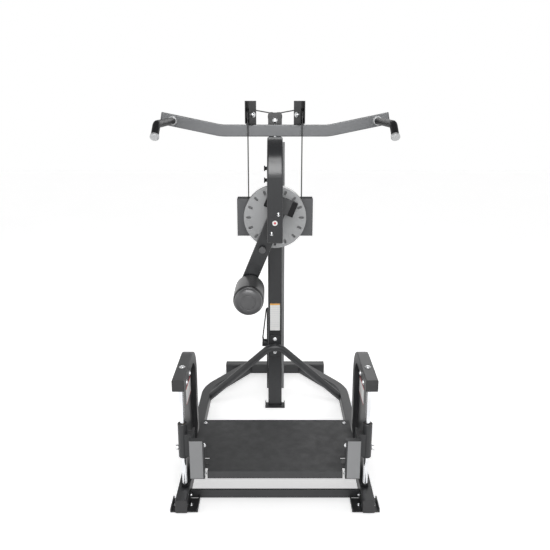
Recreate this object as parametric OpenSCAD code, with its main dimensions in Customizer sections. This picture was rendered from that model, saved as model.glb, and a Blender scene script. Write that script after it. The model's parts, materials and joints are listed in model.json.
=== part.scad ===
// Standing hip machine: a hooked column carries an index disc and a swing arm
// with a padded roller. The arm's shaft lifts a weight box through cables and
// pulleys. A platform slides on two guide rods and locks with pull pins.
// X is to the right, Y away from the user's side, Z up. Millimetres.

/* [Base] */
// Distance from the middle to each base rail's centre line
rail_x = 390; // [350:5:430]
// Width of each base rail
rail_w = 50; // [40:5:60]
// Height of each base rail
rail_h = 60; // [50:5:70]
// Thickness of the foot plates under the frame
foot_t = 5; // [4:1:8]
// Wall thickness of the frame tubes
wall = 3; // [2:0.5:4]

/* [Column] */
// Width of the column
col_w = 75; // [70:1:80]
// Height at which the column starts to bend forward
hook_z = 1308; // [1280:1:1330]
// Height of the open end of the hook's front leg
leg_z = 1001; // [980:1:1010]

/* [Index disc and arm] */
// Height of the shaft that the disc and arm turn on
pivot_z = 1095; // [1080:1:1110]
// Radius of the index disc
disc_r = 155; // [145:1:165]
// Number of index slots round the disc
slots = 16; // [8:1:20]
// Angle of the arm from straight down at rest
arm_turn = 22.5; // [15:0.5:25]
// Distance from the shaft to the roller's axis
arm_len = 376; // [340:1:380]
// Radius of the roller pad
roller_r = 74.5; // [60:0.5:80]
// Sideways offset of the roller's axis from the arm's middle
roller_off = 19; // [0:1:22]

/* [Handle bar] */
// Half width of the level middle part of the bar
bar_mid = 267; // [250:1:290]
// Half width of the whole bar
bar_half = 561.5; // [540:0.5:600]
// Angle at which the outer parts rise
bar_rise = 11.5; // [8:0.5:14]
// Distance from the middle to each grip
grip_x = 507; // [490:1:520]

/* [Platform] */
// Height of the standing surface above the floor
deck_z = 183; // [183:1:200]
// Half width of the platform's front part
deck_w = 280; // [260:1:284]
// Height of the side hoops
hoop_z = 580; // [570:1:600]

/* [Hidden] */
$fn = 48;
col_d = 100;                  // column depth
col_y = 230;                  // column front face
col_b = col_y + col_d;        // column rear face
leg_y = -25;                  // front leg front face
hook_y = 152.5;               // hook bend centre
hook_r = 127.5;               // hook centre-line radius
shaft_r = 15;
run = 0.06;                   // running clearance
weld = 0.02;                  // seam between a bend and the straight after it
cable_r = 3;
cable_x = 134;                // cable drop beside the column
cable_y = 215;
pull_a = 58;                  // turn of the pulley planes
side_r = 25;                  // side pulley, axle to cable
side_z = 1588;
mid_r = 18;                   // centre pulley, axle to cable
mid_z = 1574;
mid_s = 215;                  // centre pulley axle, along the cable's plan
drum_r = 43.5;
drum_y = 407;
rail_bend = 34;               // turn of each rail towards the rear
rail_bend_r = 260;
rail_bend_y = 260;
rod_x = 386.5;
rod_y = -610;
rod_r = 10;
pin_y = -572;
box_y = -672.5;               // middle of the box on each carriage
pin_z = 228;
knob_at = 163;                // shaft to the index knob
slot_at = 131;                // shaft to the index slots
bar_y = 252.5;
bar_z = 1511;

// ---- helpers ----
module side(s) { if (s < 0) mirror([1, 0, 0]) children(); else children(); }
module rr(w, h, r) {
  square([w - 2 * r, h], center = true);
  square([w, h - 2 * r], center = true);
  for (x = [-1, 1], y = [-1, 1]) translate([x * (w / 2 - r), y * (h / 2 - r)]) circle(r);
}
module tube2(w, h, r, t) difference() { rr(w, h, r); rr(w - 2 * t, h - 2 * t, max(r - t, 0.5)); }
module ring2(r, t) difference() { circle(r); circle(r - t); }
module along_x(a, b) translate([a, 0, 0]) rotate([90, 0, 90]) linear_extrude(b - a) children();
module along_y(a, b) translate([0, b, 0]) rotate([90, 0, 0]) linear_extrude(b - a) children();
module along_z(a, b) translate([0, 0, a]) linear_extrude(b - a) children();
module box(a, b) translate(a) cube([b[0] - a[0], b[1] - a[1], b[2] - a[2]]);
module rod_y(x, z, a, b, r) translate([x, a, z]) rotate([-90, 0, 0]) cylinder(h = b - a, r = r);
module rod_xx(y, z, a, b, r) translate([a, y, z]) rotate([0, 90, 0]) cylinder(h = b - a, r = r);
// washer, domed head and shank; the head stands along +Z from the seat
module bolt(r = 8, l = 12) {
  cylinder(h = 1.6, r = r + 4);
  translate([0, 0, 1.6]) cylinder(h = 3.4, r = r);
  translate([0, 0, 5]) cylinder(h = 2, r1 = r, r2 = r - 2.5);
  translate([0, 0, -l]) cylinder(h = l, r = 5);
}
module hole(l = 16) translate([0, 0, -l]) cylinder(h = l + 4, r = 5.2);
module leg_sites() for (s = [-1, 1])
  translate([s * 16.1, leg_y, pivot_z + s * 46.8 - 6]) rotate([90, 0, 0]) children();
module brace_sites() for (z = [330, 405]) translate([0, col_y - 6, z]) rotate([90, 0, 0]) children();
module hoop_top_site() translate([rail_x, -528, hoop_z]) children();
module hoop_in_sites() for (y = [-592, -505])
  translate([rail_x - 25, y, hoop_z - 38]) rotate([0, -90, 0]) children();
module foot_sites() for (x = [354.5, 424.2]) translate([x, -660, foot_t]) children();
module box_sites() for (z = [168, 300]) translate([290, box_y, z]) rotate([0, -90, 0]) children();
module tab_sites() translate([361, -626, 30]) rotate([0, -90, 0]) children();
module deck_sites() translate([328, -288, deck_z]) children();
module plane_at() translate([-cable_x, cable_y, 0]) rotate([0, 0, pull_a]) children();

// ---- base ----
module rail_turn() translate([rail_x - rail_bend_r, rail_bend_y, foot_t + rail_h / 2]) children();
module rail() difference() {
  union() {
    translate([rail_x, 0, foot_t + rail_h / 2]) along_y(-711, rail_bend_y) tube2(rail_w, rail_h, 4, wall);
    rail_turn() rotate_extrude(angle = rail_bend)
      translate([rail_bend_r, 0]) tube2(rail_w, rail_h, 4, wall);
    rail_turn() rotate([0, 0, rail_bend])
      translate([rail_bend_r, 0, 0]) along_y(weld, 345) tube2(rail_w, rail_h, 4, wall);
  }
  box([-10, 657, -5], [400, 800, 90]);
}
module base_rail_left() color("#232528") side(-1) rail();
module base_rail_right() color("#232528") side(1) rail();
module rear_cross_tube() color("#232528")
  translate([0, 686, 30]) along_x(-303, 303) tube2(58, 60, 5, wall);
module rear_spine() color("#232528")
  translate([0, 0, 30]) along_y(col_b, 657) tube2(50, 50, 4, wall);
module front_cross_bar() color("#232528") {
  box([-365, -612, 6], [365, -604, 46]);
  for (s = [-1, 1]) side(s) difference() {
    box([361, -640, 10], [365, -612, 46]);
    tab_sites() hole(4.4);
  }
}
module foot(x0, x1, y0, y1) {
  box([x0, y0, 0], [x1, y1, foot_t]);
  for (x = [x0, x1 - 5]) box([x, y0, 0], [x + 5, y1, 17]);
}
module front_feet() color("#2a2c2f") for (s = [-1, 1]) side(s) difference() {
  foot(322.5, 438, -704, -613);
  foot_sites() hole(4.4);
}
module column_foot() color("#2a2c2f") {
  foot(-54.5, 54.5, 205, 265);
  box([-col_w / 2, 265, 0], [col_w / 2, 345, foot_t]);
}

// ---- column and its hook ----
module column() color("#2b2d30") difference() {
  union() {
    translate([0, col_y + col_d / 2, 0]) along_z(foot_t, hook_z) tube2(col_w, col_d, 8, wall);
    translate([0, hook_y, hook_z]) rotate([90, 0, 90]) rotate_extrude(angle = 180)
      translate([hook_r, 0]) tube2(col_d, col_w, 8, wall);
    translate([0, leg_y + col_d / 2, 0]) along_z(leg_z, hook_z) tube2(col_w, col_d, 8, wall);
  }
  rod_y(0, pivot_z, 60, 90, 26);
  rod_y(0, pivot_z, 220, 340, 26);
  leg_sites() hole();
  brace_sites() hole();
}
module front_brace() color("#26282b") {
  difference() {
    union() {
      for (s = [-1, 1]) side(s) brace_leg();
      brace_at() rotate_extrude(angle = 2 * brace_half) translate([brace_r, 0]) ring2(19, 2.5);
    }
    for (s = [-1, 1]) side(s) box([rail_x - rail_w / 2 - 0.3, 0, -40], [460, 300, 200]);
    box([-60, 224, 200], [60, 260, 460]);
  }
  difference() {
    translate([0, 227, 367]) rotate([90, 0, 0]) linear_extrude(6, center = true) rr(56, 116, 6);
    brace_sites() hole();
  }
}
// the brace's legs fall outward and lean slightly forward
brace_half = 44.6;
brace_lean = 11;
brace_z = 372;
brace_r = 70;
module brace_at() translate([0, 205, brace_z - brace_r]) rotate([brace_lean, 0, 0]) rotate([90, 0, 0])
  rotate([0, 0, 90 - brace_half]) children();
module brace_leg() brace_at() translate([brace_r, 0, 0]) rotate([90, 0, 0])
  linear_extrude(480) ring2(19, 2.5);

// ---- side hoops with their index plates ----
module hoop() {
  difference() {
    union() {
      translate([rail_x, 0, hoop_z - 25]) along_y(-651, -387) tube2(50, 50, 4, wall);
      translate([rail_x, -387, hoop_z - 130]) rotate([90, 0, 90]) rotate_extrude(angle = 90)
        translate([105, 0]) tube2(50, 50, 4, wall);
      translate([rail_x, -282, 0]) along_z(foot_t + rail_h, hoop_z - 130) tube2(50, 50, 4, wall);
    }
    hoop_top_site() hole();
    hoop_in_sites() hole();
  }
  difference() {
    translate([rail_x, 0, 0]) along_x(-1.5, 1.5) {
      translate([-588, 65]) square([201, hoop_z - 115 + 1.5]);
      translate([-588, 65]) square([282.5, hoop_z - 195]);
      translate([-387, hoop_z - 130]) circle(81.5);
    }
    for (i = [0:12]) rod_xx(pin_y, pin_z - 80 + 20 * i, rail_x - 5, rail_x + 5, 5.5);
  }
}
module hoop_left() color("#232528") side(-1) hoop();
module hoop_right() color("#232528") side(1) hoop();
module guide_rod() translate([rod_x, rod_y, foot_t + rail_h])
  cylinder(h = hoop_z - 50 - foot_t - rail_h, r = rod_r);
module guide_rod_left() color("#c9ccd0") side(-1) guide_rod();
module guide_rod_right() color("#c9ccd0") side(1) guide_rod();

// ---- plastic and rubber fittings ----
module cap(w, h, r) {
  linear_extrude(4) rr(w, h, r);
  translate([0, 0, -14]) linear_extrude(14) rr(w - 2 * wall - 0.4, h - 2 * wall - 0.4, max(r - wall, 2));
}
module tube_end_caps() color("#17181a") {
  for (s = [-1, 1]) side(s) {
    translate([rail_x, -711, foot_t + rail_h / 2]) rotate([90, 0, 0]) cap(rail_w, rail_h, 4);
    translate([rail_x, -651, hoop_z - 25]) rotate([90, 0, 0]) cap(50, 50, 4);
    translate([303, 686, 30]) rotate([90, 0, 90]) cap(58, 60, 5);
    bar_out() translate([280.3, 0, 0]) rotate([90, 0, 90]) cap(35, 58, 4);
  }
  translate([0, leg_y + col_d / 2, leg_z]) rotate([180, 0, 0]) cap(col_w, col_d, 8);
}
module rubber_stops() color("#17181a") {
  for (s = [-1, 1]) side(s) {
    translate([rod_x, rod_y, foot_t + rail_h]) difference() {
      cylinder(h = 12, r = 15);
      translate([0, 0, -1]) cylinder(h = 14, r = rod_r + 0.3);
    }
    box([col_w / 2, 245, 958], [col_w / 2 + 24, 275, 984]);
  }
  for (z = [1260, 1320]) translate([-col_w / 2, 285, z]) rotate([0, -90, 0]) {
    cylinder(h = 4, r = 14);
    translate([0, 0, 4]) cylinder(h = 9, r = 9);
    translate([0, 0, 13]) cylinder(h = 6, r = 14);
  }
}

// ---- handle bar ----
bend_r = 200;
bend_t = bend_r * tan(bar_rise / 2);
bar_a = bar_mid - bend_t;
bar_b = bar_a + bend_r * sin(bar_rise);
bar_c = bar_z + bend_r * (1 - cos(bar_rise));
grip_z = bar_c + (grip_x - bar_b) * tan(bar_rise) - 1;
module bar_out() translate([bar_b, bar_y, bar_c]) rotate([0, -bar_rise, 0]) children();
// straight run forward, a bend and a short run sloping down
grip_y = -177.8;
grip_r = 50;
grip_a = 38;
grip_tip = 57;
module grip_end_at() translate([0, grip_y - grip_r * sin(grip_a), grip_r * (cos(grip_a) - 1)])
  rotate([90 + grip_a, 0, 0]) children();
module grip_path(back) {
  along_y(grip_y, back) children();
  translate([0, grip_y, -grip_r]) rotate([90, 0, 90]) rotate([0, 0, 90])
    rotate_extrude(angle = grip_a) translate([grip_r, 0]) children();
  grip_end_at() translate([0, 0, weld]) linear_extrude(grip_tip - weld) children();
}
module handle_bar() color("#55585c") {
  translate([0, bar_y, bar_z]) along_x(-bar_a, bar_a) tube2(35, 58, 4, wall);
  for (s = [-1, 1]) side(s) {
    translate([bar_a, bar_y, bar_z + bend_r]) rotate([90, 0, 0]) rotate([0, 0, -90])
      rotate_extrude(angle = bar_rise) translate([bend_r, 0]) tube2(58, 35, 4, wall);
    bar_out() along_x(0, 280.3) tube2(35, 58, 4, wall);
    translate([grip_x, 0, grip_z]) grip_path(bar_y - 16) ring2(12, 2.5);
  }
}
module grip() translate([grip_x, 0, grip_z]) grip_path(222) ring2(17, 5);
module grip_left() color("#141516") side(-1) grip();
module grip_right() color("#141516") side(1) grip();
module grip_ends() color("#c8cacc") for (s = [-1, 1]) side(s) translate([grip_x, 0, grip_z]) {
  along_y(222, bar_y - 17.5) ring2(22, 10);
  grip_end_at() {
    translate([0, 0, grip_tip]) cylinder(h = 9, r = 19.5);
    translate([0, 0, grip_tip + 9]) cylinder(h = 4, r1 = 19.5, r2 = 14);
  }
}
module bar_saddle() color("#2b2d30") difference() {
  union() {
    for (s = [-1, 1]) side(s) box([24, 190, 1380], [30, 290, 1476]);
    box([-30, 190, 1476], [30, 290, 1482]);
    box([-30, 270, 1482], [30, 276, 1535]);
  }
  translate([0, hook_y, hook_z]) rotate([90, 0, 90])
    cylinder(h = 100, r = hook_r + col_d / 2, center = true, $fn = 96);
  translate([0, 205, 1482]) hole();
}

// ---- pulleys ----
module side_block() plane_at() difference() {
  union() {
    box([8, -15, 1540], [53, 15, 1545]);
    for (y = [-15, 11]) box([-3, y, 1545], [53, y + 4, 1654]);
    box([49, -11, 1545], [53, 11, 1562]);
  }
  rod_y(side_r, side_z, -20, 20, 6.1);
}
module side_block_left() color("#1d1e20") side(1) side_block();
module side_block_right() color("#1d1e20") side(-1) side_block();
module pulley_mast() color("#1d1e20") difference() {
  union() {
    translate([0, col_b + 15, 0]) along_z(1180, 1520) tube2(60, 30, 4, wall);
    box([-34, col_b, 1520], [34, 436, 1525]);
    box([-34, 350, 1525], [34, 354, 1596]);
    for (s = [-1, 1]) side(s) {
      box([31, 354, 1525], [34, 368, 1578]);
      plane_at() for (y = [-13, 9]) box([mid_s - 9, y, 1525], [mid_s + 9, y + 4, mid_z + 12]);
    }
  }
  for (s = [-1, 1]) side(s) plane_at() {
    rod_y(mid_s, mid_z, -20, 20, 5.1);
    translate([mid_s + mid_r, 0, 1500]) cylinder(h = 40, r = 7);
  }
  translate([0, 350, 1556]) rotate([90, 0, 0]) hole();
}
module pulley_axles() color("#b9bcc0") for (s = [-1, 1]) side(s) {
  plane_at() {
    rod_y(side_r, side_z, -15, 15, 6);
    rod_y(side_r, side_z, -18, -15, 13);
    rod_y(side_r, side_z, -23, -18, 9.5);
    rod_y(side_r, side_z, 15, 21, 10);
    rod_y(mid_s, mid_z, -9, 9, 5);
  }
}
module pulley(r, bore) rotate([90, 0, 0]) difference() {
  cylinder(h = 12, r = r + 5, center = true);
  cylinder(h = 20, r = bore + run, center = true);
  rotate_extrude() translate([r, 0]) { circle(3.2); translate([0, -3.2]) square([12, 6.4]); }
}
module pulley_side_left() color("#2c2d30") plane_at() translate([side_r, 0, side_z]) pulley(side_r, 6);
module pulley_side_right() color("#2c2d30") side(-1)
  plane_at() translate([side_r, 0, side_z]) pulley(side_r, 6);
module pulley_mid_left() color("#2c2d30") plane_at() translate([mid_s, 0, mid_z]) pulley(mid_r, 5);
module pulley_mid_right() color("#2c2d30") side(-1)
  plane_at() translate([mid_s, 0, mid_z]) pulley(mid_r, 5);

// ---- cables: up from the box, over both pulleys, down to the yoke ----
top_l = sqrt(pow(mid_s - side_r, 2) + pow(side_z - mid_z, 2));
top_a = atan2(side_z - mid_z, mid_s - side_r) + asin((side_r - mid_r) / top_l);
top_t = sqrt(top_l * top_l - pow(side_r - mid_r, 2));
module top_cables() color("#202123") for (s = [-1, 1]) side(s) plane_at() {
  translate([side_r, 0, side_z]) rotate([90, 0, 0]) rotate([0, 0, 90 - top_a])
    rotate_extrude(angle = 90 + top_a) translate([side_r, 0]) circle(cable_r);
  translate([side_r, 0, side_z]) rotate([0, top_a, 0]) translate([0, 0, side_r])
    rotate([0, 90, 0]) cylinder(h = top_t, r = cable_r);
  translate([mid_s, 0, mid_z]) rotate([90, 0, 0]) rotate_extrude(angle = 90 - top_a)
    translate([mid_r, 0]) circle(cable_r);
}
module front_cables() color("#202123") for (s = [-1, 1])
  translate([s * cable_x, cable_y, 1140]) cylinder(h = side_z - 1140, r = cable_r);
module rear_cables() color("#202123") for (s = [-1, 1]) side(s) plane_at()
  translate([mid_s + mid_r, 0, 1340]) cylinder(h = mid_z - 1340, r = cable_r);
module drive_strap() color("#1b1c1e") box([drum_r, drum_y - 7, pivot_z], [drum_r + 3, drum_y + 7, 1315]);
module drive_yoke() color("#8d9095") {
  box([-24, 377, 1315], [50, 420, 1340]);
  plane_at() translate([mid_s + mid_r, 0, 1340]) difference() {
    cylinder(h = 12, r = 7);
    translate([0, 0, -1]) cylinder(h = 20, r = cable_r + 0.3);
  }
  side(-1) plane_at() translate([mid_s + mid_r, 0, 1340]) difference() {
    cylinder(h = 12, r = 7);
    translate([0, 0, -1]) cylinder(h = 20, r = cable_r + 0.3);
  }
}

// ---- shaft, disc and drum ----
module shaft_bearings() color("#7d8085") {
  difference() {
    union() { rod_y(0, pivot_z, 10, 75, 25.9); rod_y(0, pivot_z, 75, 78, 32); }
    rod_y(0, pivot_z, 0, 90, shaft_r + run);
  }
  difference() {
    union() {
      rod_y(0, pivot_z, 226, 334, 25.9);
      rod_y(0, pivot_z, 226, 230, 30);
      rod_y(0, pivot_z, 330, 334, 30);
    }
    rod_y(0, pivot_z, 200, 340, shaft_r + run);
  }
}
module shaft() color("#a9acb0") rod_y(0, pivot_z, 12, 422, shaft_r);
module index_disc() color("#a7a9ac") difference() {
  union() { rod_y(0, pivot_z, 120, 126, disc_r); rod_y(0, pivot_z, 126, 192, 30); }
  rod_y(0, pivot_z, 100, 200, shaft_r);
  for (i = [0:slots - 1]) translate([0, 130, pivot_z]) rotate([90, 0, 0])
    rotate([0, 0, 270 - arm_turn + i * 360 / slots]) translate([slot_at, 0, -5]) linear_extrude(30) {
      square([12, 12], center = true);
      for (x = [-6, 6]) translate([x, 0]) circle(6);
    }
}
module disc_rim() color("#242628") difference() {
  union() {
    difference() { rod_y(0, pivot_z, 126, 190, disc_r); rod_y(0, pivot_z, 120, 186, disc_r - 6); }
  }
  rod_y(0, pivot_z, 120, 200, 30);
}
module cable_drum() color("#6d7075") difference() {
  union() {
    rod_y(0, pivot_z, drum_y - 11, drum_y + 11, drum_r);
    for (y = [-11, 8]) rod_y(0, pivot_z, drum_y + y, drum_y + y + 3, 52);
  }
  rod_y(0, pivot_z, 380, 430, shaft_r);
}

// ---- swing arm, drawn hanging straight and turned about the shaft ----
module swing() translate([0, 0, pivot_z]) rotate([0, arm_turn, 0]) children();
module swing_arm() color("#2b2d30") swing() {
  difference() {
    union() {
      translate([0, 98.5, 0]) along_z(-arm_len - 34, 38) tube2(76, 36, 5, wall);
      rod_y(0, 0, 80.5, 116.5, 30);
      rod_y(0, -knob_at, 76.5, 87, 12);
      rod_y(0, -slot_at, 107, 116.5, 9);
      rod_y(roller_off, -arm_len, 80.5, 116.5, 18);
    }
    rod_y(0, 0, 70, 130, shaft_r + run);
    rod_y(0, -knob_at, 70, 90, 5 + run);
    rod_y(0, -slot_at, 100, 130, 5 + run);
  }
  rod_y(roller_off, -arm_len, -128, 81, 12);
}
module counterweight() color("#2e3033") swing() translate([0, 98.5, 75]) box([-48, -18, -37], [48, 18, 37]);
module arm_bumpers() color("#131415") swing() for (s = [-1, 1]) side(s)
  box([48, 80.5, 38.5], [76, 116.5, 111.5]);
// the knob's rod and the pin that enters a slot are joined by a bar inside the arm
module index_pin() color("#3a3c3f") swing() {
  rod_y(0, -knob_at, 44, 60, 16.5);
  rod_y(0, -knob_at, 60, 88, 5);
  box([-5, 88, -knob_at - 5], [5, 93, -slot_at + 5]);
  rod_y(0, -slot_at, 93, 118, 5);
}
module roller_core() color("#3b3d40") swing() {
  difference() {
    rod_y(roller_off, -arm_len, -132, 72, 25);
    rod_y(roller_off, -arm_len, -128.1, 80, 12 + run);
  }
  rod_y(roller_off, -arm_len, -144, -132, 67);
  translate([roller_off, -144, -arm_len]) rotate([90, 0, 0]) cylinder(h = 16, r1 = 67, r2 = 52);
}
module roller_pad() color("#1b1c1d") swing() difference() {
  rod_y(roller_off, -arm_len, -132, 74, roller_r);
  rod_y(roller_off, -arm_len, -140, 80, 25);
}

// ---- weight box ----
module weight_box() color("#3b3e42") difference() {
  union() {
    box([-193, 205, 984], [193, 207.5, 1175.5]);
    for (s = [-1, 1]) side(s) {
      box([38, 207.5, 984], [193, 281, 987]);
      box([190.5, 205, 984], [193, 281, 1175.5]);
      box([38, 278.5, 984], [193, 281, 1175.5]);
      box([38, 207.5, 984], [40.5, 281, 1175.5]);
      box([126, 207, 1128], [142, 222, 1140]);
    }
  }
  box([-37.9, 200, 1000], [37.9, 290, 1140]);
}
module weight_plates() color("#4a4c4f") for (s = [-1, 1], i = [0:4]) side(s)
  box([46, 212, 987 + 24 * i], [186, 274, 987 + 24 * i + 22 + (i < 4 ? 2 : 0)]);

// ---- rear strips, lever, labels and fasteners ----
module cover_strip() color("#9b9ea2") difference() {
  box([31, col_b, 60], [50.7, 375, 1449]);
  box([33, col_b + 2, 50], [48.7, 380, 1460]);
}
module index_strip() color("#1f2022") difference() {
  box([-46, col_b, 60], [-10, 334, 550]);
  for (z = [80:25:530]) rod_y(-28, z, 320, 340, 5);
}
module lever_bracket() color("#1f2022") {
  box([-41.5, 245, 335], [-37.5, 305, 395]);
  for (y = [250, 294]) box([-70, y, 353], [-41.5, y + 6, 377]);
  rod_y(-60, 365, 250, 300, 4);
}
module lever() color("#1a1b1d") {
  difference() {
    rod_y(-60, 365, 258, 292, 9);
    rod_y(-60, 365, 250, 300, 4 + run);
  }
  translate([-63, 275, 373]) rotate([0, -9, 0]) cylinder(h = 26, r = 4.5);
  translate([-67, 275, 398]) rotate([0, 6.9, 0]) cylinder(h = 168, r = 3.5);
}
module labels() color("#e6e6e4") {
  box([-26.5, 229.2, 454], [26.5, 230, 609]);
  for (s = [-1, 1]) side(s) box([rail_x - 2.3, -462, 370], [rail_x - 1.5, -328, 447]);
  rod_y(0, pivot_z, leg_y - 2.5, leg_y, 12.5);
}
module frame_bolts() color("#c3c6ca") {
  leg_sites() bolt(5.5);
  brace_sites() bolt(6);
  translate([0, 205, 1482]) bolt(5, 2.5);
  translate([0, 350, 1556]) rotate([90, 0, 0]) bolt(9, 12);
  for (s = [-1, 1]) side(s) {
    hoop_top_site() bolt(9);
    hoop_in_sites() bolt(7);
    foot_sites() bolt(4.5, 4);
    tab_sites() bolt(5, 4);
  }
}

// ---- platform ----
module platform_deck() color("#3a3d40") difference() {
  union() {
    box([-deck_w, -684, deck_z - 4], [deck_w, -498, deck_z]);
    box([-338, -578, deck_z - 4], [338, -498, deck_z]);
    box([-355, -500, deck_z - 4], [355, -256, deck_z]);
    box([-deck_w, -684, deck_z - 33], [deck_w, -680, deck_z]);
    for (s = [-1, 1]) side(s) box([334, -578, deck_z - 25], [338, -498, deck_z]);
    for (s = [-1, 1]) side(s) box([351, -500, deck_z - 25], [355, -256, deck_z]);
    box([-355, -260, deck_z - 25], [355, -256, deck_z]);
  }
  for (s = [-1, 1]) side(s) deck_sites() hole();
}
module platform_frame() color("#26282b") {
  translate([0, -600, deck_z - 16.5]) along_x(-340, 340) tube2(40, 25, 3, 2.5);
  translate([0, -330, deck_z - 16.5]) along_x(-345, 345) tube2(40, 25, 3, 2.5);
  for (s = [-1, 1]) side(s)
    translate([230, 0, deck_z - 16.5]) along_y(-600, -330) tube2(40, 25, 3, 2.5);
}
module carriage() difference() {
  union() {
    translate([321, box_y, 0]) along_z(147, 325) tube2(62, 23, 4, wall);
    for (z = [147, 321]) box([292, box_y - 10, z], [350, box_y + 10, z + 4]);
    box([340, -662, 147], [348, -575, 325]);
    box([347, -628, 216], [rod_x, -592, 320]);
    translate([rod_x, rod_y, 210]) cylinder(h = 154, r = 20);
    box([396, rod_y, pin_z - 18], [404, -558, pin_z + 26]);
  }
  translate([rod_x, rod_y, 200]) cylinder(h = 180, r = 13);
  rod_xx(pin_y, pin_z, 380, 420, 5.06);
  box_sites() hole();
}
module carriage_left() color("#2c2e31") side(-1) carriage();
module carriage_right() color("#2c2e31") side(1) carriage();
module platform_bolts() color("#c3c6ca") for (s = [-1, 1]) side(s) {
  deck_sites() bolt(5, 10);
  box_sites() bolt(5.5);
}
module slide_bushes() color("#b48a4a") for (s = [-1, 1], z = [214, 320]) side(s)
  translate([rod_x, rod_y, z]) difference() {
    cylinder(h = 40, r = 13);
    translate([0, 0, -1]) cylinder(h = 42, r = rod_r + run);
  }
module platform_pin() {
  rod_xx(pin_y, pin_z, 393.5, 414, 5);
  rod_xx(pin_y, pin_z, 414, 424, 12);
}
module platform_pin_left() color("#c3c6ca") side(-1) platform_pin();
module platform_pin_right() color("#c3c6ca") side(1) platform_pin();

base_rail_left();
base_rail_right();
rear_cross_tube();
rear_spine();
front_cross_bar();
front_feet();
column_foot();
column();
front_brace();
hoop_left();
hoop_right();
guide_rod_left();
guide_rod_right();
tube_end_caps();
rubber_stops();
handle_bar();
grip_left();
grip_right();
grip_ends();
bar_saddle();
pulley_mast();
side_block_left();
side_block_right();
pulley_axles();
pulley_side_left();
pulley_side_right();
pulley_mid_left();
pulley_mid_right();
top_cables();
front_cables();
rear_cables();
drive_strap();
shaft_bearings();
cover_strip();
index_strip();
labels();
frame_bolts();
lever_bracket();
lever();
shaft();
index_disc();
disc_rim();
cable_drum();
swing_arm();
counterweight();
arm_bumpers();
index_pin();
roller_core();
roller_pad();
weight_box();
weight_plates();
drive_yoke();
platform_deck();
platform_frame();
carriage_left();
carriage_right();
platform_bolts();
slide_bushes();
platform_pin_left();
platform_pin_right();
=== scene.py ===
"""Looks for the standing hip machine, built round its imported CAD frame. All lengths are in metres."""

import json
import math

import bmesh
import bpy
from mathutils import Matrix, Vector


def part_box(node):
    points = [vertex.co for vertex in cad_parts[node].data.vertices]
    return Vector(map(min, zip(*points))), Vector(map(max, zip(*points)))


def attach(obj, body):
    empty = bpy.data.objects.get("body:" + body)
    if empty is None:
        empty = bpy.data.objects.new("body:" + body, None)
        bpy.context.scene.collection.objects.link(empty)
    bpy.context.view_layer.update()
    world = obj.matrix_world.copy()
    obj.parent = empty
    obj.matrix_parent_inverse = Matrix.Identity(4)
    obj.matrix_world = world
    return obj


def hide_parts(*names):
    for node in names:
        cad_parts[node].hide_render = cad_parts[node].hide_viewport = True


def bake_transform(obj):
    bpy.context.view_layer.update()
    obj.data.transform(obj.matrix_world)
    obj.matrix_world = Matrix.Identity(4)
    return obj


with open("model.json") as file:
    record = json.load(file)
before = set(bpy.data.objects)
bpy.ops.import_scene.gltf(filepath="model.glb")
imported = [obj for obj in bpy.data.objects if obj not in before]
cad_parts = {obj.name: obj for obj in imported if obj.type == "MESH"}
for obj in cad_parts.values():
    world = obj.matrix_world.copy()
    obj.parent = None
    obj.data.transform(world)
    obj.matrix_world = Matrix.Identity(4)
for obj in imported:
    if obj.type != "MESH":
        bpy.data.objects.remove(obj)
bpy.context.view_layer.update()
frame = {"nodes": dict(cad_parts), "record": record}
NODES = frame["nodes"]


# ---------------------------------------------------------------- materials

def new_material(name):
    m = bpy.data.materials.new(name)
    m.use_nodes = True
    tree = m.node_tree
    return m, tree, tree.nodes["Principled BSDF"]


def node(tree, kind, **inputs):
    n = tree.nodes.new(kind)
    for key, value in inputs.items():
        n.inputs[key.replace("_", " ")].default_value = value
    return n


def place(tree, scale=(1, 1, 1)):
    """Object coordinates, which are metres in the row frame."""
    coords = tree.nodes.new("ShaderNodeTexCoord")
    mapping = tree.nodes.new("ShaderNodeMapping")
    mapping.inputs["Scale"].default_value = scale
    tree.links.new(coords.outputs["Object"], mapping.inputs["Vector"])
    return mapping.outputs["Vector"]


def noise(tree, scale, detail=4.0, rough=0.55, stretch=(1, 1, 1)):
    n = node(tree, "ShaderNodeTexNoise", Scale=scale, Detail=detail, Roughness=rough)
    tree.links.new(place(tree, stretch), n.inputs["Vector"])
    return n.outputs["Fac"]


def ramp(tree, fac, low, high, at=(0.35, 0.65)):
    r = tree.nodes.new("ShaderNodeValToRGB")
    for stop, colour, where in zip(r.color_ramp.elements, (low, high), at):
        stop.color = (*colour, 1)
        stop.position = where
    tree.links.new(fac, r.inputs["Fac"])
    return r.outputs["Color"]


def spread(tree, fac, low, high, at=(0.3, 0.7)):
    r = node(tree, "ShaderNodeMapRange", From_Min=at[0], From_Max=at[1], To_Min=low, To_Max=high)
    tree.links.new(fac, r.inputs["Value"])
    return r.outputs["Result"]


def bump(tree, bsdf, height, strength, distance, base=None):
    b = node(tree, "ShaderNodeBump", Strength=strength, Distance=distance)
    tree.links.new(height, b.inputs["Height"])
    if base is not None:
        tree.links.new(base, b.inputs["Normal"])
    tree.links.new(b.outputs["Normal"], bsdf.inputs["Normal"])
    return b.outputs["Normal"]


def soft_edges(tree, radius):
    b = tree.nodes.new("ShaderNodeBevel")
    b.samples = 4
    b.inputs["Radius"].default_value = radius
    return b.outputs["Normal"]


def shade(colour, k):
    return tuple(min(1.0, c * k) for c in colour)


def mix(tree, fac, a, b):
    m = tree.nodes.new("ShaderNodeMix")
    m.data_type = "RGBA"
    tree.links.new(fac, m.inputs[0])
    for source, socket in ((a, m.inputs[6]), (b, m.inputs[7])):
        if isinstance(source, tuple):
            socket.default_value = (*source, 1)
        else:
            tree.links.new(source, socket)
    return m.outputs[2]


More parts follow.
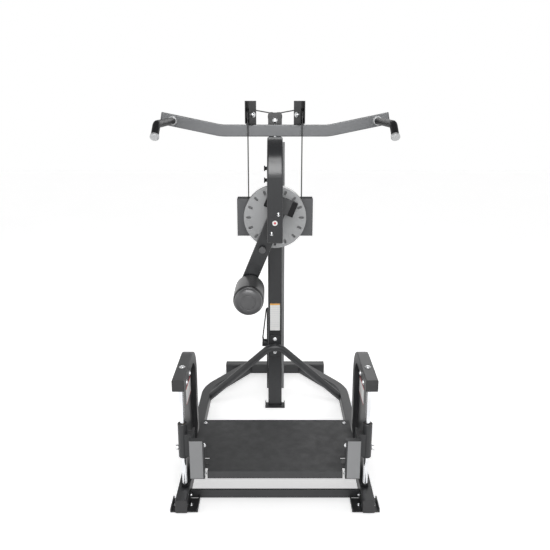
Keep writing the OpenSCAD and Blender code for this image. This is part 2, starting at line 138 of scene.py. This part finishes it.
def paint(name, colour, rough=0.42, metallic=0.0, peel=0.10, grain=900.0, edge=0.0012):
    """Powder coat: broad colour drift, handling marks, orange peel and a fine grain."""
    m, t, b = new_material(name)
    drift = ramp(t, noise(t, 3.0, 3.0), shade(colour, 0.94), shade(colour, 1.06))
    dust = spread(t, noise(t, 11.0, 4.0, 0.6), 0.0, 0.10, (0.45, 0.75))
    dusty = tuple(min(1.0, c + 0.030) for c in colour)
    t.links.new(mix(t, dust, drift, dusty), b.inputs["Base Color"])
    t.links.new(spread(t, noise(t, 60.0, 6.0, 0.65), rough - 0.01, rough + 0.02), b.inputs["Roughness"])
    b.inputs["Metallic"].default_value = metallic
    fine = bump(t, b, noise(t, grain, 2.0), peel, 0.0004, soft_edges(t, edge))
    bump(t, b, noise(t, grain * 0.22, 2.0), peel * 0.4, 0.0008, fine)
    return m


def brushed(name, colour, rough=0.24, stretch=(1, 1, 1), scale=220.0, depth=0.05):
    """Bare or plated metal with a fine drawn grain and cloudy roughness."""
    m, t, b = new_material(name)
    cloudy = ramp(t, noise(t, 14.0, 5.0), shade(colour, 0.88), shade(colour, 1.05))
    t.links.new(cloudy, b.inputs["Base Color"])
    b.inputs["Metallic"].default_value = 1.0
    drawn = spread(t, noise(t, scale, 3.0, 0.6, stretch), rough - 0.07, rough + 0.09)
    t.links.new(drawn, b.inputs["Roughness"])
    bump(t, b, noise(t, scale * 3, 2.0, 0.5, stretch), depth, 0.0003, soft_edges(t, 0.0005))
    return m


def rubber(name, colour, rough=0.62, grain=700.0, depth=0.25, gloss=0.5):
    """Moulded rubber or plastic: fine leathery grain, faint drift in colour and roughness."""
    m, t, b = new_material(name)
    b.inputs["Specular IOR Level"].default_value = gloss
    drift = ramp(t, noise(t, 22.0, 5.0), shade(colour, 0.92), shade(colour, 1.10))
    t.links.new(drift, b.inputs["Base Color"])
    t.links.new(spread(t, noise(t, 90.0, 5.0), rough - 0.03, rough + 0.03), b.inputs["Roughness"])
    cells = node(t, "ShaderNodeTexVoronoi", Scale=grain)
    t.links.new(place(t), cells.inputs["Vector"])
    bump(t, b, cells.outputs["Distance"], depth, 0.0003, soft_edges(t, 0.0012))
    return m


def deck_material():
    """Textured tread: rounded bumps in the paint with lighter, rubbed tops."""
    m, t, b = new_material("deck_paint")
    cells = node(t, "ShaderNodeTexVoronoi", Scale=420.0)
    t.links.new(place(t), cells.inputs["Vector"])
    worn = spread(t, noise(t, 5.0, 6.0), 0.0, 1.0, (0.35, 0.75))
    colour = mix(t, worn, (0.034, 0.035, 0.037), (0.040, 0.041, 0.043))
    tops = spread(t, cells.outputs["Distance"], 0.35, 0.0, (0.0, 0.45))
    t.links.new(mix(t, tops, colour, (0.050, 0.051, 0.054)), b.inputs["Base Color"])
    t.links.new(spread(t, noise(t, 30.0, 5.0), 0.50, 0.66), b.inputs["Roughness"])
    bump(t, b, cells.outputs["Distance"], 0.35, 0.0005, soft_edges(t, 0.0015))
    return m


def banded(name, bands, ground, rough=0.35):
    """A plain printed label: flat colour bands at given heights, over a ground colour."""
    m, t, b = new_material(name)
    split = t.nodes.new("ShaderNodeSeparateXYZ")
    t.links.new(place(t), split.inputs["Vector"])
    colour = ground
    for low, high, tint in bands:
        above = node(t, "ShaderNodeMath")
        above.operation = "GREATER_THAN"
        above.inputs[1].default_value = low
        below = node(t, "ShaderNodeMath")
        below.operation = "LESS_THAN"
        below.inputs[1].default_value = high
        both = node(t, "ShaderNodeMath")
        both.operation = "MULTIPLY"
        for test in (above, below):
            t.links.new(split.outputs["Z"], test.inputs[0])
        t.links.new(above.outputs[0], both.inputs[0])
        t.links.new(below.outputs[0], both.inputs[1])
        colour = mix(t, both.outputs[0], colour, tint)
    if isinstance(colour, tuple):
        b.inputs["Base Color"].default_value = (*colour, 1)
    else:
        t.links.new(colour, b.inputs["Base Color"])
    t.links.new(spread(t, noise(t, 80.0, 3.0), rough - 0.05, rough + 0.08), b.inputs["Roughness"])
    return m


BLACK = (0.026, 0.027, 0.029)
WHITE = (0.80, 0.80, 0.79)
RED = (0.62, 0.03, 0.05)
ORANGE = (0.80, 0.40, 0.06)
BLUE = (0.02, 0.03, 0.12)
PRINT = (0.62, 0.63, 0.65)
MATS = {
    "frame_black": paint("frame_black", BLACK, peel=0.05),
    # the column's base colour is a little darker than frame_black: painted shade for the darker reflections
    # down the column
    "column_paint": paint("column_paint", (0.020, 0.021, 0.023), rough=0.25, peel=0.02),
    "bar_paint": paint("bar_paint", (0.112, 0.115, 0.119), rough=0.34, metallic=0.35, peel=0.06),
    "block_black": paint("block_black", (0.013, 0.013, 0.014), rough=0.30),
    "disc_paint": paint("disc_paint", (0.345, 0.350, 0.355), rough=0.36, metallic=0.15, peel=0.05),
    "cover_paint": paint("cover_paint", (0.30, 0.305, 0.31), rough=0.38),
    "box_paint": paint("box_paint", (0.085, 0.087, 0.092), rough=0.42),
    "face_paint": paint("face_paint", (0.235, 0.238, 0.243), rough=0.40, metallic=0.1),
    "iron": paint("iron", (0.045, 0.046, 0.048), rough=0.55, peel=0.3, grain=420.0),
    "chrome": brushed("chrome", (0.80, 0.81, 0.83), rough=0.14, stretch=(1, 1, 0.06), depth=0.02),
    "zinc": brushed("zinc", (0.78, 0.79, 0.80), rough=0.27),
    "bearing_steel": brushed("bearing_steel", (0.50, 0.51, 0.52), rough=0.30),
    "bronze": brushed("bronze", (0.60, 0.38, 0.16), rough=0.34),
    "plastic_black": rubber("plastic_black", (0.022, 0.022, 0.023), rough=0.46, grain=1100.0, depth=0.12),
    "rubber_black": rubber("rubber_black", (0.010, 0.010, 0.011), rough=0.50, grain=900.0,
                           depth=0.10, gloss=0.16),
    "cap_silver": paint("cap_silver", (0.46, 0.465, 0.47), rough=0.30, metallic=0.4, peel=0.03),
    "pad": rubber("pad", (0.022, 0.022, 0.023), rough=0.30, grain=900.0, depth=0.05),
    "cable_black": rubber("cable_black", (0.020, 0.020, 0.021), rough=0.38, grain=1500.0, depth=0.05),
    "deck_paint": deck_material(),
    "label": banded("label", [], WHITE),
    "cap_plastic": rubber("cap_plastic", (0.090, 0.090, 0.093), rough=0.30, grain=1300.0, depth=0.04),
}
SLOT_OF = {s["node"]: s["material_slot"] for s in frame["record"]["subparts"]}
SPECIAL = {"grip_ends": "cap_silver"}
for name, obj in NODES.items():
    obj.data.materials.clear()
    obj.data.materials.append(MATS[SPECIAL.get(name, SLOT_OF[name])])


# ---------------------------------------------------------------- mesh helpers

def finish_piece(obj, body, slot, material=None, replaced=()):
    obj.data.materials.clear()
    obj.data.materials.append(material or MATS[slot])
    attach(obj, body)
    if replaced:
        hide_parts(*replaced)
    return obj


def mesh_piece(name, bm, smooth=True):
    data = bpy.data.meshes.new(name)
    bmesh.ops.recalc_face_normals(bm, faces=bm.faces)
    bm.to_mesh(data)
    bm.free()
    for face in data.polygons:
        face.use_smooth = smooth
    obj = bpy.data.objects.new(name, data)
    bpy.context.scene.collection.objects.link(obj)
    return obj


def round_edges(obj, width, segments=3, angle=30):
    mod = obj.modifiers.new("round", "BEVEL")
    mod.width = width
    mod.segments = segments
    mod.limit_method = "ANGLE"
    mod.angle_limit = math.radians(angle)
    mod.harden_normals = True
    return obj


def axis_matrix(centre, axis, roll_to=(1, 0, 0)):
    """Local +Z along axis, local +X as near roll_to as it can be, at centre."""
    z = Vector(axis).normalized()
    x = Vector(roll_to)
    if abs(x.normalized().dot(z)) > 0.95:
        x = Vector((0, 0, 1))
    x = (x - z * x.dot(z)).normalized()
    return Matrix.Translation(centre) @ Matrix((x, z.cross(x), z)).transposed().to_4x4()


def lathe(bm, outline, centre, axis, steps=64, lobes=None):
    """Turns (radius, height) points about axis. lobes(angle, height) scales the radius."""
    m = axis_matrix(centre, axis)
    rings = []
    for r, h in outline:
        if r < 1e-6:
            rings.append([bm.verts.new(m @ Vector((0, 0, h)))])
            continue
        ring = []
        for i in range(steps):
            a = 2 * math.pi * i / steps
            k = lobes(a, h) if lobes else 1.0
            ring.append(bm.verts.new(m @ Vector((r * k * math.cos(a), r * k * math.sin(a), h))))
        rings.append(ring)
    for low, high in zip(rings, rings[1:]):
        for i in range(steps):
            j = (i + 1) % steps
            quad = [low[i % len(low)], low[j % len(low)], high[j % len(high)], high[i % len(high)]]
            face = list(dict.fromkeys(quad))
            if len(face) > 2:
                bm.faces.new(face)
    return bm


def arc(centre, radius, start, end, steps=8):
    """(radius, height) points on a quarter or other arc, angles in degrees."""
    return [(centre[0] + radius * math.cos(math.radians(start + (end - start) * i / steps)),
             centre[1] + radius * math.sin(math.radians(start + (end - start) * i / steps)))
            for i in range(steps + 1)]


def sweep(bm, points, radius_at, sides=16):
    """A round closed tube through points. radius_at(distance along) gives its radius."""
    points = [Vector(p) for p in points]
    tangents = []
    for i, p in enumerate(points):
        before, after = points[max(i - 1, 0)], points[min(i + 1, len(points) - 1)]
        tangents.append((after - before).normalized())
    side_way = Vector((1, 0, 0)) if abs(tangents[0].x) < 0.9 else Vector((0, 1, 0))
    travelled, rings = 0.0, []
    for i, (p, t) in enumerate(zip(points, tangents)):
        if i:
            travelled += (p - points[i - 1]).length
        side_way = (side_way - t * side_way.dot(t)).normalized()
        up = t.cross(side_way)
        r = radius_at(travelled)
        rings.append([bm.verts.new(p + (side_way * math.cos(a) + up * math.sin(a)) * r)
                      for a in (2 * math.pi * k / sides for k in range(sides))])
    for low, high in zip(rings, rings[1:]):
        for i in range(sides):
            j = (i + 1) % sides
            bm.faces.new((low[i], low[j], high[j], high[i]))
    bm.faces.new(rings[0])
    bm.faces.new(rings[-1])
    return bm


def islands(obj):
    """The separate solids of a CAD node, as lists of points."""
    bm = bmesh.new()
    bm.from_mesh(obj.data)
    bmesh.ops.remove_doubles(bm, verts=bm.verts, dist=1e-6)
    left, found = set(bm.verts), []
    while left:
        stack, seen = [next(iter(left))], set()
        while stack:
            v = stack.pop()
            if v in seen:
                continue
            seen.add(v)
            stack.extend(e.other_vert(v) for e in v.link_edges)
        left -= seen
        found.append([v.co.copy() for v in seen])
    bm.free()
    found.sort(key=lambda pts: tuple(round(sum(p[k] for p in pts) / len(pts), 4) for k in range(3)))
    return found


def span(points):
    low = Vector([min(p[k] for p in points) for k in range(3)])
    high = Vector([max(p[k] for p in points) for k in range(3)])
    return low, high


def middle(name):
    low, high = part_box(name)
    return (low + high) / 2


# ---------------------------------------------------------------- camera and light

CAMERA_PLACE = (0.0, -2.925, 1.667)
CAMERA_DOWN = 15.93
CAMERA_LENS = 40.58


def make_camera():
    data = bpy.data.cameras.new("camera")
    data.lens = CAMERA_LENS
    data.sensor_width = 36.0
    cam = bpy.data.objects.new("camera", data)
    cam.location = CAMERA_PLACE
    cam.rotation_euler = (math.radians(90 - CAMERA_DOWN), 0, 0)
    bpy.context.scene.collection.objects.link(cam)
    bpy.context.scene.camera = cam


def area_light(name, place_at, target, size, power, size_y=None, gloss_only=False):
    data = bpy.data.lights.new(name, "AREA")
    data.shape = "RECTANGLE"
    data.size, data.size_y = size, size_y or size
    data.energy = power
    obj = bpy.data.objects.new(name, data)
    obj.location = place_at
    obj.rotation_euler = (Vector(target) - Vector(place_at)).to_track_quat("-Z", "Y").to_euler()
    obj.visible_diffuse = not gloss_only
    bpy.context.scene.collection.objects.link(obj)


def make_world():
    """White round the horizon and darker overhead, so curved paint shows soft bands."""
    world = bpy.data.worlds.new("studio")
    bpy.context.scene.world = world
    world.use_nodes = True
    tree = world.node_tree
    coords = tree.nodes.new("ShaderNodeTexCoord")
    split = tree.nodes.new("ShaderNodeSeparateXYZ")
    tree.links.new(coords.outputs["Generated"], split.inputs["Vector"])
    dim = spread(tree, split.outputs["Z"], 1.0, 0.30, (0.30, 0.62))
    tree.nodes["Background"].inputs["Color"].default_value = (1, 1, 1, 1)
    tree.links.new(dim, tree.nodes["Background"].inputs["Strength"])


def make_stage():
    make_world()
    area_light("key", (0, -2.1, 3.9), (0, 0, 1.2), 1.6, 30, 0.9)
    area_light("softbox", (0, -3.2, 2.75), (0, 0, 1.35), 1.8, 110, 2.2, gloss_only=True)
    area_light("left", (-3.0, -1.6, 2.0), (0, 0, 0.9), 1.8, 14)
    area_light("right", (3.0, -1.6, 2.0), (0, 0, 0.9), 1.8, 10)
    area_light("back", (0.6, 3.2, 2.4), (0, 0, 0.9), 2.0, 20)
    bm = bmesh.new()
    bmesh.ops.create_grid(bm, x_segments=1, y_segments=1, size=12)
    floor = mesh_piece("floor", bm, smooth=False)
    m, t, b = new_material("floor_white")
    t.links.new(ramp(t, noise(t, 1.5, 3.0), (0.90, 0.90, 0.90), (0.93, 0.93, 0.93)), b.inputs["Base Color"])
    b.inputs["Roughness"].default_value = 0.7
    b.inputs["Emission Color"].default_value = (1, 1, 1, 1)
    b.inputs["Emission Strength"].default_value = 0.55
    floor.data.materials.append(m)
    bpy.context.scene.view_settings.view_transform = "Standard"


make_camera()
make_stage()


# ---------------------------------------------------------------- roller

PIVOT = middle("index_disc")
ROLLER = middle("roller_pad")
FRONT = (0, -1, 0)


def roller_pad():
    """Foam sleeve: rounded ends and a slight crown along its length."""
    low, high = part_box("roller_pad")
    r = (high.z - low.z) / 2
    half = (high.y - low.y) / 2
    bore = 0.0252
    crown = 0.0012
    end_round = 0.014
    recess = 0.004
    out = [(bore, -half + recess)]
    out += arc((r - crown - end_round, -half + end_round), end_round, -90, 0)
    steps = 14
    for i in range(1, steps):
        h = -half + end_round + (2 * half - 2 * end_round) * i / steps
        out.append((r - crown * (2 * i / steps - 1) ** 2, h))
    out += arc((r - crown - end_round, half - end_round), end_round, 0, 90)
    out += [(bore, half - recess), (bore, -half + recess)]
    bm = lathe(bmesh.new(), out, ROLLER, FRONT, 96)
    bmesh.ops.remove_doubles(bm, verts=bm.verts, dist=1e-6)
    pad = mesh_piece("pad_sleeve", bm)
    finish_piece(pad, "roller", "pad", replaced=["roller_pad"])


CAP_INSET = 0.001
DOME_START = 0.008
DOME_POWER = 0.62


def dome_height(angle, low, high):
    """Height of the cap's dome between low and high, for an angle from its rim to its middle."""
    return low + DOME_START + (high - low - DOME_START) * math.sin(angle) ** DOME_POWER


def roller_cap():
    """Core tube with a domed end cap that has one turned groove."""
    low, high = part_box("roller_core")
    rear, front = -high.y, -low.y
    pad_front = -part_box("roller_pad")[0].y
    r, tube, bore = (high.x - low.x) / 2 - 0.0005, 0.0250, 0.0124
    groove = 0.035
    out = [(bore, rear), (tube, rear), (tube, pad_front), (r - 0.004, pad_front + 0.0005)]
    out += arc((r - 0.004, pad_front + 0.006), 0.004, -60, 30, 5)
    steps = 26
    for i in range(1, steps):
        angle = math.pi / 2 * i / steps
        out.append(((r - CAP_INSET) * math.cos(angle), dome_height(angle, pad_front, front)))
    out = with_groove(out, groove, pad_front, front, r)
    out.append((0.0, front))
    bm = lathe(bmesh.new(), out, (ROLLER.x, 0, ROLLER.z), FRONT, 96)
    cap = mesh_piece("roller_cap", bm)
    finish_piece(cap, "roller", "plastic_black", MATS["cap_plastic"], replaced=["roller_core"])


def with_groove(out, groove, low, high, r):
    """The dome's outline with a groove at radius groove, and extra rings that keep it crisp."""
    depth, width = 0.0016, 0.0010
    clear = 0.0035
    shoulder = low + 0.006
    fine = []
    for offset in (0.0030, 0.0018, 0.0010, 0.0005, 0.0, -0.0005, -0.0010, -0.0018, -0.0030):
        radius = groove + offset
        height = dome_height(math.acos(radius / (r - CAP_INSET)), low, high)
        fine.append((radius, height - depth * math.exp(-(offset / width) ** 2)))
    keep_out = [p for p in out if p[0] > groove + clear or p[1] < shoulder]
    keep_in = [p for p in out if p[0] < groove - clear and p[1] > shoulder]
    return keep_out + fine + keep_in


roller_pad()
roller_cap()


# ---------------------------------------------------------------- index pin knob

def painted_light_slot_ring():
    """Thin grey ring inside the rim, seen through the index slots: painted light that lifts their shaded
    insides to grey. The real disc has none.
    """
    plate = 0.006
    inner, outer = 0.112, 0.146
    # clear of the index pin's tip when the pin is pushed in
    front, back = 0.0055, 0.0070
    face = -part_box("index_disc")[0].y - plate
    out = [(inner, face - front), (outer, face - front), (outer, face - back), (inner, face - back),
           (inner, face - front)]
    bm = lathe(bmesh.new(), out, (PIVOT.x, 0, PIVOT.z), FRONT, 96)
    bmesh.ops.remove_doubles(bm, verts=bm.verts, dist=1e-6)
    # grey face_paint ring: painted light standing in the slots' shade
    finish_piece(mesh_piece("painted_light_slot_ring", bm, smooth=False), "rotor", "disc_paint", MATS["face_paint"])


def index_knob():
    """Fluted knob and rod, joined inside the arm to the pin that enters a slot."""
    low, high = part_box("index_pin")
    r, rod = 0.0165, 0.005
    centre = Vector((low.x + r, 0, low.z + r))
    front, bar_front, bar_back = -low.y, 0.088, 0.093
    out = [(0.0, -bar_front), (rod, -bar_front), (rod, front - 0.0165),
           (r * 0.62, front - 0.016), (r * 0.66, front - 0.0135)]
    out += arc((r - 0.0022, front - 0.0105), 0.0022, -70, 0, 4)
    out += arc((r - 0.0030, front - 0.0030), 0.0030, 0, 80, 5)
    out += [(r * 0.55, front - 0.0003), (0.0, front)]
    flutes = 18
    tooth_away, bar_length = 0.032, 0.042

    def flute(angle, height):
        return 1 - 0.035 * (0.5 + 0.5 * math.cos(angle * flutes)) if height > front - 0.0125 else 1.0

    bm = lathe(bmesh.new(), out, centre, FRONT, 108, flute)
    pivot = Vector((PIVOT.x, 0, PIVOT.z))
    inward = (pivot - centre).normalized()
    tooth = centre + inward * tooth_away
    lathe(bm, [(0.0, -high.y), (rod - 0.0008, -high.y), (rod, -high.y + 0.0008), (rod, -bar_back),
               (0.0, -bar_back)], tooth, FRONT, 32)
    bar_middle = centre + inward * (tooth_away / 2) + Vector((0, (bar_front + bar_back) / 2, 0))
    turn = axis_matrix(bar_middle, inward, (0, 1, 0))
    size = Matrix.Diagonal((bar_back - bar_front, 2 * rod, bar_length, 1))
    bmesh.ops.create_cube(bm, size=1, matrix=turn @ size)
    finish_piece(mesh_piece("index_knob", bm), "index_pin", "plastic_black", MATS["cap_plastic"],
                 replaced=["index_pin"])


# grey ring behind the index slots: painted light in their shade
painted_light_slot_ring()
index_knob()


# ---------------------------------------------------------------- bolts

def bolt_mesh(bm, seat, axis, radius, shank, washer):
    """A domed socket screw on a washer: seat is the washer's underside, radius the head's."""
    head, base = 0.0066, 0.0018
    socket, deep = radius * 0.46, 0.0030
    m = axis_matrix(seat, axis)
    ring = [(0.0046, -shank), (0.0050, -shank + 0.0006), (0.0050, 0.0), (washer - 0.0003, 0.0)]
    ring += [(washer, 0.0003), (washer, base - 0.0004), (washer - 0.0004, base), (radius, base)]
    ring += [(radius, base + 0.0016)]
    ring += [(socket + (radius - socket) * math.cos(math.pi / 2 * i / 6) * 0.98 + 0.0004,
              base + 0.0016 + (head - base - 0.0018) * math.sin(math.pi / 2 * i / 6)) for i in range(1, 7)]
    lathe(bm, [(0.0, -shank)] + ring, seat, axis, 36)
    corners = []
    for level in (head - 0.0004, head - deep):
        corners.append([bm.verts.new(m @ Vector((socket * math.cos(math.pi / 3 * k),
                                                 socket * math.sin(math.pi / 3 * k), level)))
                        for k in range(6)])
    for k in range(6):
        n = (k + 1) % 6
        bm.faces.new((corners[0][k], corners[0][n], corners[1][n], corners[1][k]))
    bm.faces.new(corners[1])
    rim = [bm.verts.new(m @ Vector(((socket + 0.0004) * math.cos(math.pi / 18 * k),
                                    (socket + 0.0004) * math.sin(math.pi / 18 * k), head - 0.0002)))
           for k in range(36)]
    for k in range(36):
        n = (k + 1) % 36
        a, b = corners[0][(k // 6) % 6], corners[0][(((k + 1) // 6) % 6)]
        face = list(dict.fromkeys((rim[k], rim[n], b, a)))
        bm.faces.new(face)


HEAD_HEIGHT = 0.007
WASHER_OVER = 0.004
SHANK_RADIUS = 0.005


def bolts(source, name, body):
    """A screw and washer at every solid of a CAD node, facing the way its head does."""
    bm = bmesh.new()
    for points in islands(NODES[source]):
        low, high = span(points)
        size = high - low
        # a screw's two cross dimensions match, so its axis is the one that differs most
        k = max(range(3), key=lambda a: abs(size[a] - size[a - 2]) + abs(size[a] - size[a - 1]))
        others = [a for a in range(3) if a != k]
        centre = (low + high) / 2

        def ring_radius(level):
            near = [p for p in points if abs(p[k] - level) < 1e-5]
            return max(math.hypot(p[others[0]] - centre[others[0]], p[others[1]] - centre[others[1]])
                       for p in near)

        shank_low = abs(ring_radius(low[k]) - SHANK_RADIUS) < 0.0002
        axis = Vector((0, 0, 0))
        axis[k] = 1.0 if shank_low else -1.0
        washer = size[others[0]] / 2
        head_end = high[k] if shank_low else low[k]
        seat = centre.copy()
        seat[k] = head_end - axis[k] * HEAD_HEIGHT
        bolt_mesh(bm, seat, axis, washer - WASHER_OVER, size[k] - HEAD_HEIGHT, washer)
    piece = mesh_piece(name, bm, smooth=False)
    for face in piece.data.polygons:
        face.use_smooth = len(face.vertices) == 4
    finish_piece(piece, body, "zinc", replaced=[source])


bolts("frame_bolts", "frame_screws", "frame")
bolts("platform_bolts", "platform_screws", "platform")


# ---------------------------------------------------------------- grips

def grip(side):
    """Rubber sleeve with moulded ribs, over the tube's straight run and its bent end."""
    name = "grip_left" if side < 0 else "grip_right"
    low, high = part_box(name)
    r, bend, turn = (high.x - low.x) / 2, 0.050, math.radians(38)
    x, z = (low.x + high.x) / 2, high.z - r
    back = high.y
    corner = -0.1778
    points = [(x, back + (corner - back) * i / 150, z) for i in range(151)]
    points += [(x, corner - bend * math.sin(turn * i / 16), z - bend + bend * math.cos(turn * i / 16))
               for i in range(1, 17)]
    tip = 0.057
    end = points[-1]
    points += [(x, end[1] - math.cos(turn) * tip * i / 24, end[2] - math.sin(turn) * tip * i / 24)
               for i in range(1, 25)]
    pitch = 0.0095

    def ribbed(d):
        return r - 0.0004 * (0.5 + 0.5 * math.cos(2 * math.pi * d / pitch)) ** 3

    bm = sweep(bmesh.new(), points, ribbed, 32)
    finish_piece(mesh_piece(name + "_sleeve", bm), "frame", "rubber_black", replaced=[name])


grip(-1)
grip(1)


# ---------------------------------------------------------------- cables

def cables(source, name):
    """The two runs of one node, as smooth tubes."""
    bm = bmesh.new()
    for points in islands(NODES[source]):
        low, high = span(points)
        r = (high.x - low.x) / 2
        x, y = (low.x + high.x) / 2, (low.y + high.y) / 2
        count = 48
        route = [(x, y, low.z + (high.z - low.z) * i / count) for i in range(count + 1)]
        sweep(bm, route, lambda d: r, 16)
    piece = mesh_piece(name, bm)
    piece.data.materials.append(MATS["cable_black"])
    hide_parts(source)
    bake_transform(piece)


cables("front_cables", "front_cable_runs")
cables("rear_cables", "rear_cable_runs")


def strap():
    """Flat drive strap."""
    low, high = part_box("drive_strap")
    bm = bmesh.new()
    rows = 40
    rings = []
    for i in range(rows + 1):
        z = low.z + (high.z - low.z) * i / rows
        rings.append([bm.verts.new(p) for p in ((low.x, low.y, z), (high.x, low.y, z),
                                                (high.x, high.y, z), (low.x, high.y, z))])
    for a, b in zip(rings, rings[1:]):
        for k in range(4):
            n = (k + 1) % 4
            bm.faces.new((a[k], a[n], b[n], b[k]))
    bm.faces.new(rings[0])
    bm.faces.new(rings[-1])
    piece = mesh_piece("drive_belt", bm, smooth=False)
    piece.data.materials.append(MATS["rubber_black"])
    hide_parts("drive_strap")
    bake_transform(piece)


strap()


# ---------------------------------------------------------------- plates and panels

def slab(bm, low, high):
    m = Matrix.Translation((Vector(low) + Vector(high)) / 2) @ Matrix.Diagonal(
        (*(Vector(high) - Vector(low)), 1))
    bmesh.ops.create_cube(bm, size=1, matrix=m)


def weight_plates():
    """Five iron plates in each stack. Their number is a guess: the box hides them."""
    bm = bmesh.new()
    low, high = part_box("weight_plates")
    count, gap = 5, 0.0012
    thick = (high.z - low.z) / count
    for points in islands(NODES["weight_plates"]):
        a, b = span(points)
        for i in range(count):
            slab(bm, (a.x, a.y, low.z + thick * i), (b.x, b.y, low.z + thick * (i + 1) - gap))
    piece = round_edges(mesh_piece("plate_stack", bm), 0.0018)
    finish_piece(piece, "weight_carriage", "iron", replaced=["weight_plates"])


def carriage_faces():
    """Light plates on the carriages' front boxes, with a wider dark margin on the inner side."""
    bm = bmesh.new()
    inner, outer, top, bottom, thick = 0.290, 0.352, 0.325, 0.147, 0.0012
    for name in ("carriage_left", "carriage_right"):
        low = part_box(name)[0]
        side = -1 if low.x < 0 else 1
        x = sorted((side * (inner + 0.007), side * (outer - 0.002)))
        slab(bm, (x[0], low.y - thick, bottom + 0.003), (x[1], low.y, top - 0.002))
    piece = round_edges(mesh_piece("carriage_face_plates", bm), 0.0008)
    finish_piece(piece, "platform", "cover_paint", MATS["face_paint"])


def printed_labels():
    """Plain labels: a white chart with an orange head, red-edged side labels and a round badge."""
    fronts, webs, badges = [], [], []
    for points in islands(NODES["labels"]):
        low, high = span(points)
        if high.x - low.x < 0.002:
            webs.append((low, high))
        elif high.z - low.z > 0.05:
            fronts.append((low, high))
        else:
            badges.append((low, high))
    top = fronts[0][1].z
    rules = [(top - 0.024 - 0.012 * i, top - 0.0228 - 0.012 * i, PRINT) for i in range(10)]
    head = [(top - 0.010, top - 0.0015, ORANGE), (top - 0.0015, top + 0.001, BLUE)]
    foot = webs[0][0].z
    edges = [(foot - 0.001, foot + 0.004, RED), (webs[0][1].z - 0.006, webs[0][1].z + 0.001, RED)]
    edges += [(foot + 0.014 + 0.012 * i, foot + 0.017 + 0.012 * i, PRINT) for i in range(4)]
    bm = bmesh.new()
    for low, high in fronts + webs:
        slab(bm, low, high)
    for low, high in badges:
        r = (high.x - low.x) / 2
        centre = ((low.x + high.x) / 2, 0, (low.z + high.z) / 2)
        out = [(0.0, -high.y), (r, -high.y), (r, -low.y - 0.0008), (r - 0.0008, -low.y),
               (r * 0.46, -low.y), (r * 0.44, -low.y - 0.0003), (0.0, -low.y - 0.0003)]
        lathe(bm, out, centre, FRONT, 48)
    piece = mesh_piece("printed_labels", bm, smooth=False)
    finish_piece(piece, "frame", "label", replaced=["labels"])
    for extra in (banded("chart_label", head + rules, WHITE), banded("side_label", edges, WHITE),
                  banded("badge_dot", [], RED)):
        piece.data.materials.append(extra)
    for face in piece.data.polygons:
        centre = face.center
        if any(low.z <= centre.z <= high.z and abs(centre.x) < 0.03 for low, high in fronts):
            face.material_index = 1
        elif abs(centre.x) > 0.1:
            face.material_index = 2
        else:
            low, high = badges[0]
            middle_of = (low + high) / 2
            reach = math.hypot(centre.x - middle_of.x, centre.z - middle_of.z)
            face.material_index = 3 if reach < (high.x - low.x) * 0.22 and centre.y < low.y + 0.001 else 0


weight_plates()
carriage_faces()
printed_labels()
